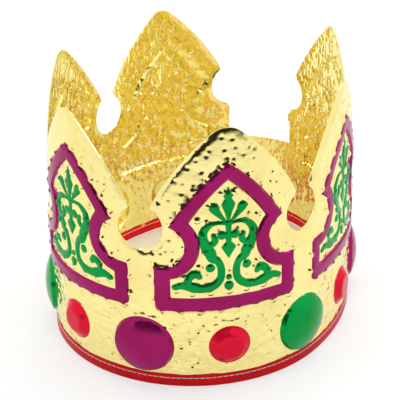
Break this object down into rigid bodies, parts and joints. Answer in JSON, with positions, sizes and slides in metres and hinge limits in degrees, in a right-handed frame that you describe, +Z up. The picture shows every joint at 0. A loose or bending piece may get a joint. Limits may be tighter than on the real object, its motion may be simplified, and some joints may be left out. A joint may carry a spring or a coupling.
{
  "type": "paper crown",
  "caption": "Open ring crown of thin pressed gold film with pointed, framed spikes, printed gems and a red sewn edging tape; worn on the head.",
  "frame": {"origin": "on the floor, under the middle of the crown's box", "axes": "+Z up, -Y towards the front gem, +Y towards the lapped closure"},
  "size_m": [0.1722, 0.2166, 0.1465],
  "materials": {
    "gold_film": "metallised, pressed, mirror-bright, printed in purple, green and pink",
    "red_tape": "smooth vinyl tape, folded and sewn"
  },
  "bodies": {
    "root": {"crown_sheet": "gold_film", "edge_binding": "red_tape"}
  },
  "joints": []
}
